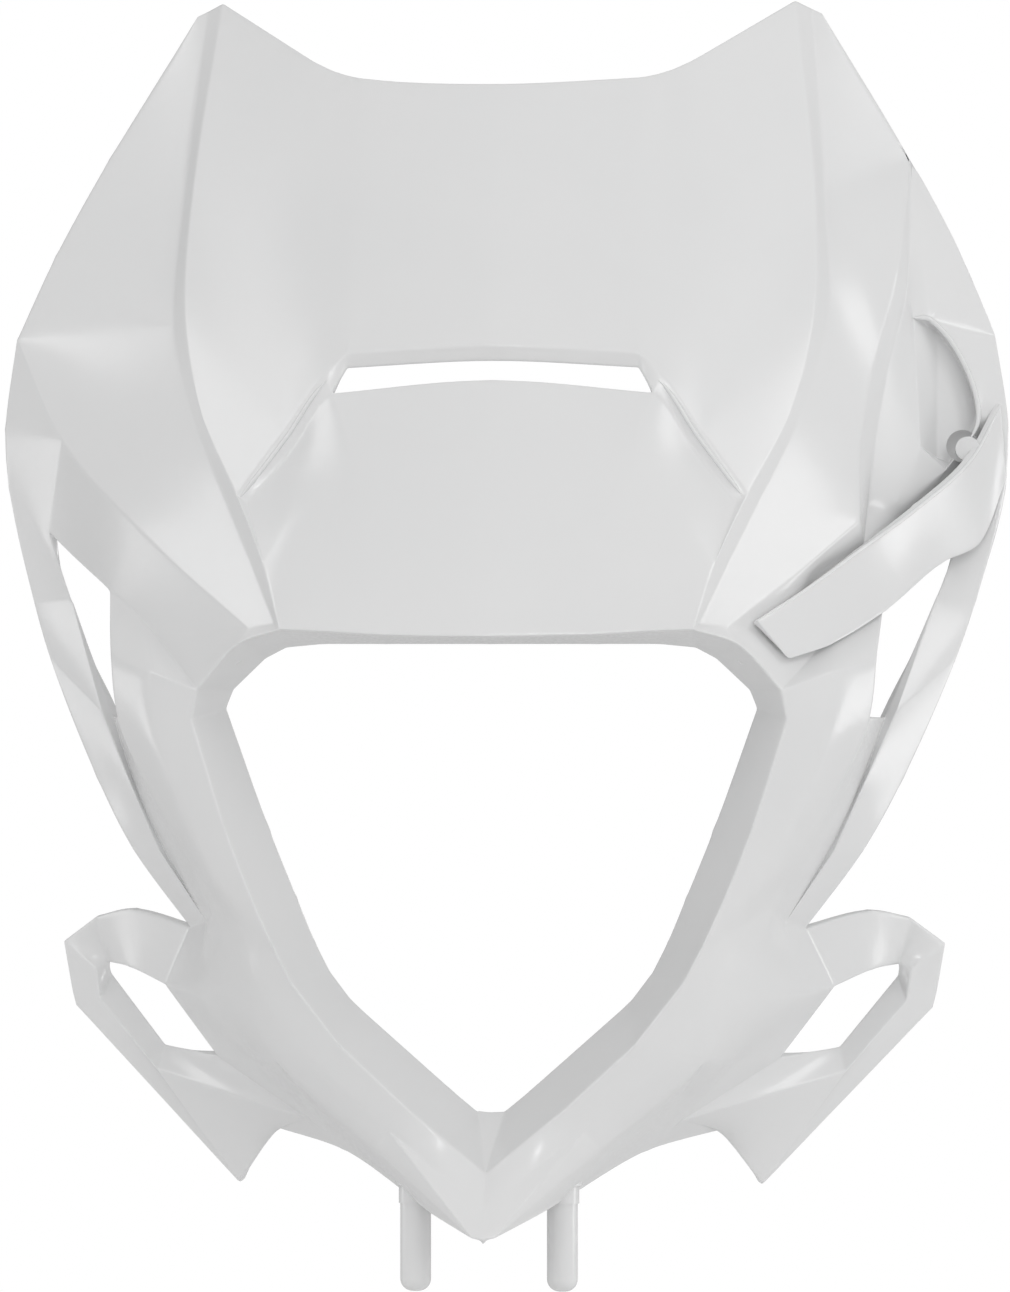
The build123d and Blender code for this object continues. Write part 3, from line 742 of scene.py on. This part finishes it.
def bead_mesh(name, path, radius, run):
    """A fine raised bead, sunk to its middle in the surface; it thins out over run rings."""
    count = BEAD_SIDES
    last = len(path) - 1
    verts = []
    faces = []
    for i, place in enumerate(path):
        ahead = normalized(path[min(i + 1, last)] - path[max(i - 1, 0)])
        side = normalized(np.cross(ahead, (0, -1, 0)))
        other = np.cross(side, ahead)
        size = radius * min(1.0, BEAD_END + i / run, BEAD_END + (last - i) / run)
        for k in range(count):
            turn = 2 * math.pi * k / count
            out = side * math.cos(turn) + other * math.sin(turn)
            spot = place + out * size
            verts.append((spot[0], spot[1], spot[2] + GROMMET_DROP))
    for i in range(last):
        low, high = i * count, (i + 1) * count
        for k in range(count):
            n = (k + 1) % count
            faces.append((low + k, low + n, high + n, high + k))
    faces.append(list(range(count))[::-1])
    faces.append(list(range(len(verts) - count, len(verts))))
    return mesh_object(name, verts, faces, BEAD_ANGLE)


def cut_hole(piece, middle, reach, radius):
    """Cut a round hole along Y, with a crisp edge, through the piece."""
    start = middle + Vector((0, -reach, GROMMET_DROP))
    end = middle + Vector((0, reach, GROMMET_DROP))
    cutter = rod_mesh("cutter", start, end, radius, False)
    uncut = piece.data.copy()
    cut = piece.modifiers.new("hole", "BOOLEAN")
    cut.operation = "DIFFERENCE"
    cut.object = cutter
    cut.solver = "EXACT"
    bpy.context.view_layer.objects.active = piece
    bpy.ops.object.modifier_apply(modifier=cut.name)
    bpy.data.objects.remove(cutter)
    if len(piece.data.polygons) < CUT_KEEPS * len(uncut.polygons):
        # A failed cut can take the whole shell away; a missing hose hole is the lesser fault
        print("FAILED: the hose hole isn't cut, the shell is left whole")
        piece.data = uncut
        return
    bpy.data.meshes.remove(uncut)
    mesh = piece.data
    on_wall = []
    for vert in mesh.vertices:
        arm = vert.co / MM - start
        out = math.hypot(arm.x, arm.z)
        on_wall.append(abs(out - radius) < HOLE_NEAR and 0 < arm.y < 2 * reach)
    wall_faces = {}
    for face in mesh.polygons:
        inside = all(on_wall[k] for k in face.vertices)
        for key in face.edge_keys:
            wall_faces.setdefault(key, []).append(inside)
    for edge in mesh.edges:
        sides = wall_faces[tuple(sorted(edge.vertices))]
        edge.use_edge_sharp = any(sides) and not all(sides)


def joined(name, parts):
    """One object of several."""
    for other in bpy.context.selected_objects:
        other.select_set(False)
    for part in parts:
        part.select_set(True)
    bpy.context.view_layer.objects.active = parts[0]
    bpy.ops.object.join()
    parts[0].name = name
    return parts[0]


# Sizes of the part's round pieces and ribs, in millimetres
PIN_SPACING = 40.0
PIN_R = 4.2
PIN_LENGTH = 19.5
PIN_TOP = 14.0
PIN_BOSS_R = 5.5
PIN_BOSS_ROOT = 1.5
PIN_BOSS_HEIGHT = 22.0
PIN_COLLAR_R = 4.6
PIN_COLLAR_HEIGHT = 3.5
SCREW_BOSSES = ((71.0, -0.5, 147.0), (36.0, -6.2, 34.0))
BOSS_R = 4.5
BOSS_FACE = 15.0
BOSS_HOLE_R = 1.8
BOSS_HOLE_DEPTH = 12.0
BOSS_CHAMFER = 0.4
HOLE_CHAMFER = 0.3
RIB_X = 30.0
RIB_WIDTH = 2.0
RIB_REACH = 13.0
RIB_TIP = 5.0
RIB_SINK = 1.5
RIB_CROWN = 0.85
RIB_FLAT = 0.38
RIB_SIDE = 0.985

# The brake hose's hole, and the tongue on the strap's upper end that hooks behind it
HOSE_HOLE_R = 4.6
HOSE_HOLE_IN = 0.42
HOSE_HOLE_SHIFT = (2.6, 0, -1.8)
HOLE_NEAR = 0.02
CUT_KEEPS = 0.9
TONGUE_SHIFT = Vector((1.4, 0, -0.9))
TONGUE_RODS = ((-9.0, 8.2, 3.4), (7.5, 9.0, 6.5))

# Fine beads: radius, and rings over which an end thins out
VENT_BEAD = (0.62, 4)
VENT_BEAD_SHARE = 0.66
VENT_BEAD_CUTS = 15
POCKET_BEAD = (0.75, 6)
POCKET_BEAD_SHIFT = (-0.3, -0.15, -0.3)
STRAP_BEAD = (0.5, 6)
STRAP_BEAD_SHIFT = (0, 0.25, -0.25)
BEAD_CUTS = 13
BEAD_END = 0.15

points = full_points(half, right_own)

# Closer to the photograph than the solids: a thinner slot with longer ends, and a
# shallower foot to the channel between strut and pillar
CLOSER = {
    "E0": (0, 0, -2.0), "E1": (0.4, 0, -1.7), "Q1": (2.0, 0, 0),
    "C2": (-0.6, -4.2, 0), "C4": (-0.8, -5.6, 0), "C5": (-0.4, -3.0, 0),
}
for name, shift in CLOSER.items():
    points[name] = points[name] + shift
    if name + "-" in points:
        points[name + "-"] = points[name] * (-1, 1, 1)
left_lines = [mirrored(names, points)[::-1] for names in words(smooth_lines)]
right_lines = words(right_smooth) + words(smooth_lines)
right_faces = words(patches) + words(right_pocket)
left_faces = [mirrored(names, points) for names in words(patches) + words(left_blade)]

shell = wall_mesh(
    "mask_shell_skin", right_faces + left_faces, left_lines + right_lines, points, WALL, ("S1",),
)
hose_hole = points["nE"] + (points["nC"] - points["nE"]) * HOSE_HOLE_IN + HOSE_HOLE_SHIFT
hose_hole = Vector(hose_hole)
cut_hole(shell, hose_hole, 3 * WALL, HOSE_HOLE_R)
parts = [shell]
for side in (-1, 1):
    x = side * PIN_SPACING / 2
    parts.append(rod_mesh("pin", (x, 0, -PIN_LENGTH), (x, 0, PIN_TOP), PIN_R, True))
    collar_foot = GROMMET_DROP - PIN_COLLAR_HEIGHT
    parts.append(rod_mesh("collar", (x, 0, collar_foot), (x, 0, PIN_TOP), PIN_COLLAR_R, False))
    boss_root = GROMMET_DROP + PIN_BOSS_ROOT
    boss_top = GROMMET_DROP + PIN_BOSS_HEIGHT
    parts.append(rod_mesh("pin_boss", (x, 0, boss_root), (x, 0, boss_top), PIN_BOSS_R, False))
    for across, back, up in SCREW_BOSSES:
        foot = Vector((side * across, back, up + GROMMET_DROP))
        face = Vector((side * across, BOSS_FACE, up + GROMMET_DROP))
        hole_foot = BOSS_FACE - BOSS_HOLE_DEPTH
        parts.append(boss_mesh("boss", foot, face, hole_foot, BOSS_R, BOSS_HOLE_R))


def at_rib(middle, side):
    """The point between the two at the rib's place across, as back and up."""
    place = points[middle] + (points[side] - points[middle]) * (RIB_X / points[side][0])
    return place[1:]


foot, brow, ledge = at_rib("M5", "N5"), at_rib("M4", "N4"), at_rib("O0", "O1")
head = brow + (at_rib("Q0", "Q1") - brow) * RIB_CROWN
rib_outline = [
    foot + (RIB_SINK, 0), brow + (RIB_SINK, 0), head + (RIB_SINK, 0),
    head + (RIB_SINK + RIB_TIP, 0), brow + (RIB_REACH, 0), ledge + (-RIB_SINK, RIB_SINK),
]
for side in (-1, 1):
    parts.append(rib_mesh("rib", side * RIB_X, RIB_WIDTH, rib_outline))


def along_edges(pairs, curves, known, cuts, last_cuts):
    """Places along a run of edges; the last edge is followed over last_cuts only."""
    path = []
    for number, (a, b) in enumerate(pairs):
        curve = np.array(edge_curve(a, b, curves, known))
        stop = last_cuts if number == len(pairs) - 1 else cuts
        for t in np.linspace(0, 1, cuts)[(0 if number == 0 else 1):stop]:
            path.append(cubic(t) @ curve)
    return path


# Second fine edge on each leg of the vent rim, between the outer and the inner line
network = line_curves(left_lines + right_lines, points)
for end in ("", "-"):
    outer = [("U2" + end, "K" + end), ("K" + end, "G" + end)]
    inner = [("Q1" + end, "R" + end), ("R" + end, "GG" + end)]
    outer = along_edges(outer, network, points, VENT_BEAD_CUTS, VENT_BEAD_CUTS)
    inner = along_edges(inner, network, points, VENT_BEAD_CUTS, VENT_BEAD_CUTS)
    path = [a * VENT_BEAD_SHARE + b * (1 - VENT_BEAD_SHARE) for a, b in zip(outer, inner)]
    parts.append(bead_mesh("rim_bead", path, *VENT_BEAD))

# Bead on the pocket's rim, down to where the strap covers it
pairs = [("kA", "kB"), ("kB", "kC"), ("kC", "kD")]
path = along_edges(pairs, network, points, BEAD_CUTS, BEAD_CUTS // 2 + 1)
path = [place + POCKET_BEAD_SHIFT for place in path]
parts.append(bead_mesh("pocket_bead", path, *POCKET_BEAD))
shell = joined("mask_shell_skin", parts)

guide_points = placed(guide, points)
guide_faces, guide_runs = words(guide_patches), words(guide_lines)
strap = wall_mesh("hose_guide_skin", guide_faces, guide_runs, guide_points, GUIDE_WALL)
strap_parts = [strap]
for foot, tip, radius in TONGUE_RODS:
    low = hose_hole + TONGUE_SHIFT + Vector((0, foot, GROMMET_DROP))
    high = hose_hole + TONGUE_SHIFT + Vector((0, tip, GROMMET_DROP))
    strap_parts.append(rod_mesh("tongue", low, high, radius, False))
upper = guide_runs[0]
network = line_curves(guide_runs, guide_points)
path = along_edges(list(zip(upper, upper[1:])), network, guide_points, BEAD_CUTS, BEAD_CUTS)
path = [place + STRAP_BEAD_SHIFT for place in path]
strap_parts.append(bead_mesh("strap_bead", path, *STRAP_BEAD))
strap = joined("hose_guide_skin", strap_parts)


# White gloss plastic: tint and roughness, and the noises that vary them (scale, detail)
TINT = 0.80
ROUGH = 0.16
ROUGH_MORE = 0.09
PLASTIC_IOR = 1.5
FLOW_NOISE = (14.0, 3.0)
FLOW_TINT = (0.975, 0.978, 0.98)
FLOW_RANGE = (0.3, 0.7)
DUST_NOISE = (900.0, 2.0)
DUST_RANGE = (0.35, 0.7)
SKIN_NOISE = (260.0, 1.0)
SKIN_STRENGTH = 0.05
SKIN_DEPTH = 0.0004


def noise(tree, place, scale, detail):
    """A noise in the object's own space."""
    node = tree.nodes.new("ShaderNodeTexNoise")
    node.inputs["Scale"].default_value = scale
    node.inputs["Detail"].default_value = detail
    tree.links.new(place.outputs["Object"], node.inputs["Vector"])
    return node


def plastic(name, tint, rough):
    """White gloss plastic: faint flow marks, handling dust, and a slightly uneven skin."""
    material = bpy.data.materials.new(name)
    material.use_nodes = True
    tree = material.node_tree
    nodes, links = tree.nodes, tree.links
    shader = nodes["Principled BSDF"]
    place = nodes.new("ShaderNodeTexCoord")
    flow = noise(tree, place, *FLOW_NOISE)
    dust = noise(tree, place, *DUST_NOISE)
    skin = noise(tree, place, *SKIN_NOISE)
    colour = nodes.new("ShaderNodeValToRGB")
    dark, light = colour.color_ramp.elements
    dark.position, light.position = FLOW_RANGE
    dark.color = (*(tint * share for share in FLOW_TINT), 1)
    light.color = (tint, tint, tint, 1)
    links.new(flow.outputs["Fac"], colour.inputs["Fac"])
    links.new(colour.outputs["Color"], shader.inputs["Base Color"])
    gloss = nodes.new("ShaderNodeMapRange")
    gloss.inputs["From Min"].default_value = DUST_RANGE[0]
    gloss.inputs["From Max"].default_value = DUST_RANGE[1]
    gloss.inputs["To Min"].default_value = rough
    gloss.inputs["To Max"].default_value = rough + ROUGH_MORE
    links.new(dust.outputs["Fac"], gloss.inputs["Value"])
    links.new(gloss.outputs["Result"], shader.inputs["Roughness"])
    bump = nodes.new("ShaderNodeBump")
    bump.inputs["Strength"].default_value = SKIN_STRENGTH
    bump.inputs["Distance"].default_value = SKIN_DEPTH
    links.new(skin.outputs["Fac"], bump.inputs["Height"])
    links.new(bump.outputs["Normal"], shader.inputs["Normal"])
    shader.inputs["IOR"].default_value = PLASTIC_IOR
    return material


def finished(piece, material, node):
    """One material, and the piece's place in the shared frame."""
    piece.data.materials.clear()
    piece.data.materials.append(material)
    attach(piece, "root")
    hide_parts(node)


white = plastic("white_gloss", TINT, ROUGH)
finished(shell, white, "mask_shell")
finished(strap, white, "hose_guide")


# Stage: a white floor well below, a white room and plain lamps
FLOOR_DROP = 0.35
FLOOR_SIZE = 40.0
FLOOR_TINT = 0.9
FLOOR_ROUGH = 0.9
ROOM_BASE = 0.345
ROOM_SLOPE = (0.13, -0.26, 0.21)
ROOM_ENDS = 0.3

# Lamps: name, place, width, height and power, in metres and watts
LAMPS_AIM = (0, 0.03, 0.16)
LAMPS = (
    ("side_left", (-1.58, 0.2, 0.02), 0.4, 0.5, 1.4),
    ("side_right", (1.58, 0.2, 0.02), 0.4, 0.5, 2.4),
    ("high_left", (-1.38, -0.6, 1.25), 0.55, 0.55, 3.2),
    ("high_right", (1.38, -0.6, 1.25), 0.55, 0.55, 3.4),
    ("front_left", (-1.1, -1.5, 0.45), 0.25, 0.25, 1.0),
    ("front_right", (1.1, -1.5, 0.45), 0.25, 0.25, 1.3),
    ("front_high", (0.1, -2.1, 0.95), 0.3, 0.3, 2.2),
    ("back_right", (1.1, 1.35, 0.3), 0.5, 0.5, 2.5),
)


def white_to_eye(tree, surface, strength):
    """Plain white to camera and transmission rays; to all others the surface itself."""
    nodes, links = tree.nodes, tree.links
    path = nodes.new("ShaderNodeLightPath")
    seen = nodes.new("ShaderNodeMath")
    seen.operation = "MAXIMUM"
    links.new(path.outputs["Is Camera Ray"], seen.inputs[0])
    links.new(path.outputs["Is Transmission Ray"], seen.inputs[1])
    glow = nodes.new("ShaderNodeEmission")
    glow.inputs["Strength"].default_value = strength
    mix = nodes.new("ShaderNodeMixShader")
    links.new(seen.outputs[0], mix.inputs[0])
    links.new(surface, mix.inputs[1])
    links.new(glow.outputs["Emission"], mix.inputs[2])
    return mix.outputs[0]


def add_floor():
    """A white floor well below the part."""
    place = (0, 0, cad_low.z - FLOOR_DROP)
    bpy.ops.mesh.primitive_plane_add(size=FLOOR_SIZE, location=place)
    floor = bpy.context.active_object
    floor.name = "floor"
    material = bpy.data.materials.new("floor_paper")
    material.use_nodes = True
    tree = material.node_tree
    shader = tree.nodes["Principled BSDF"]
    shader.inputs["Base Color"].default_value = (FLOOR_TINT, FLOOR_TINT, FLOOR_TINT, 1)
    shader.inputs["Roughness"].default_value = FLOOR_ROUGH
    output = tree.nodes["Material Output"]
    seen = white_to_eye(tree, shader.outputs["BSDF"], 1.0)
    tree.links.new(seen, output.inputs["Surface"])
    floor.data.materials.append(material)


def add_world():
    """A white room: brighter above, in front and on the right, dimmer at the sides.

    The camera sees plain white.
    """
    world = bpy.data.worlds.new("white_room")
    scene.world = world
    world.use_nodes = True
    tree = world.node_tree
    nodes, links = tree.nodes, tree.links
    place = nodes.new("ShaderNodeTexCoord")
    slope = nodes.new("ShaderNodeVectorMath")
    slope.operation = "DOT_PRODUCT"
    slope.inputs[1].default_value = ROOM_SLOPE
    links.new(place.outputs["Generated"], slope.inputs[0])
    split = nodes.new("ShaderNodeSeparateXYZ")
    links.new(place.outputs["Generated"], split.inputs["Vector"])
    ends = nodes.new("ShaderNodeMath")
    ends.operation = "MULTIPLY"
    links.new(split.outputs["Y"], ends.inputs[0])
    links.new(split.outputs["Y"], ends.inputs[1])
    level = nodes.new("ShaderNodeMath")
    level.operation = "MULTIPLY_ADD"
    links.new(ends.outputs[0], level.inputs[0])
    level.inputs[1].default_value = ROOM_ENDS
    level.inputs[2].default_value = ROOM_BASE
    total = nodes.new("ShaderNodeMath")
    total.operation = "ADD"
    links.new(level.outputs[0], total.inputs[0])
    links.new(slope.outputs["Value"], total.inputs[1])
    room = nodes["Background"]
    room.inputs["Color"].default_value = (1, 1, 1, 1)
    links.new(total.outputs[0], room.inputs["Strength"])
    seen = nodes.new("ShaderNodeBackground")
    seen.inputs["Color"].default_value = (1, 1, 1, 1)
    seen.inputs["Strength"].default_value = 1.0
    path = nodes.new("ShaderNodeLightPath")
    mix = nodes.new("ShaderNodeMixShader")
    links.new(path.outputs["Is Camera Ray"], mix.inputs[0])
    links.new(room.outputs["Background"], mix.inputs[1])
    links.new(seen.outputs["Background"], mix.inputs[2])
    links.new(mix.outputs[0], nodes["World Output"].inputs["Surface"])


def add_lamp(name, place, width, height, power):
    """A soft rectangular lamp aimed at the part's middle."""
    data = bpy.data.lights.new(name, "AREA")
    data.shape = "RECTANGLE"
    data.size = width
    data.size_y = height
    data.energy = power
    lamp = bpy.data.objects.new(name, data)
    lamp.location = place
    aim = Vector(LAMPS_AIM) - Vector(place)
    lamp.rotation_euler = aim.to_track_quat("-Z", "Y").to_euler()
    scene.collection.objects.link(lamp)


add_floor()
add_world()
for lamp in LAMPS:
    add_lamp(*lamp)

scene.view_settings.view_transform = "Standard"
